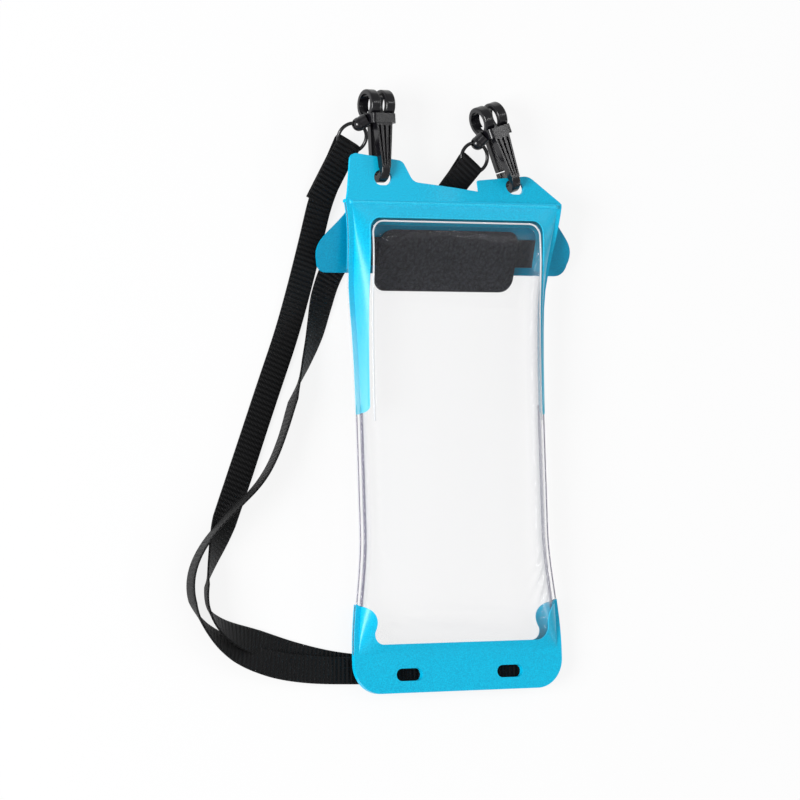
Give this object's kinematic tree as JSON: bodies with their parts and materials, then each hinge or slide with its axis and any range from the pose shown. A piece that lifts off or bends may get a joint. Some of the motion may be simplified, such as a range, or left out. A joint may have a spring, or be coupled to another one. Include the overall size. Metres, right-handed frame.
{
  "type": "waterproof phone case",
  "caption": "Clear puffed film pouch with welded colour frames, a folded rear closure flap, and a flat neck strap on two swivel snap hooks.",
  "frame": {"origin": "centre of the flat area of the back, on the ground", "axes": "+Y along the case from its foot to its hooks, +Z out of the front window, +X to the right seen from the front"},
  "size_m": [0.1684, 0.2222, 0.0166],
  "materials": {
    "clear_film": "clear glossy soft film",
    "frame": "turquoise soft film, fine matt grain",
    "hook_tape": "black hook tape",
    "loop_tape": "black brushed loop tape",
    "hook_plastic": "black moulded, satin to glossy",
    "pin_metal": "darkened steel",
    "ring_metal": "black coated wire",
    "webbing": "black ribbed webbing",
    "thread": "black sewing thread"
  },
  "bodies": {
    "case": {"closure_flap": "frame", "foot_frame_front": "frame", "foot_frame_rear": "frame", "front_film": "clear_film", "gate_pin_left": "pin_metal", "gate_pin_right": "pin_metal", "hook_body_left": "hook_plastic", "hook_body_right": "hook_plastic", "hook_strip": "hook_tape", "loop_strip": "loop_tape", "neck_strap": "webbing", "rear_film": "clear_film", "rear_top_frame": "frame", "ring_left": "ring_metal", "ring_right": "ring_metal", "strap_stitching_left": "thread", "strap_stitching_right": "thread", "swivel_left": "hook_plastic", "swivel_right": "hook_plastic", "top_frame": "frame"},
    "gate_left": {"gate_left": "hook_plastic"},
    "gate_right": {"gate_right": "hook_plastic"}
  },
  "joints": [
    {"name": "gate_left_hinge", "type": "hinge", "parent": "case", "child": "gate_left", "pos_m": [-0.031, 0.12395, 0.00725], "axis": [-1, 0, 0], "range_deg": [0, 14], "stiffness_Nm_per_rad": 0.02},
    {"name": "gate_right_hinge", "type": "hinge", "parent": "case", "child": "gate_right", "pos_m": [0.02167, 0.12084, 0.0034], "axis": [-0.9563, -0.2915, 0.0229], "range_deg": [0, 14], "stiffness_Nm_per_rad": 0.02}
  ]
}
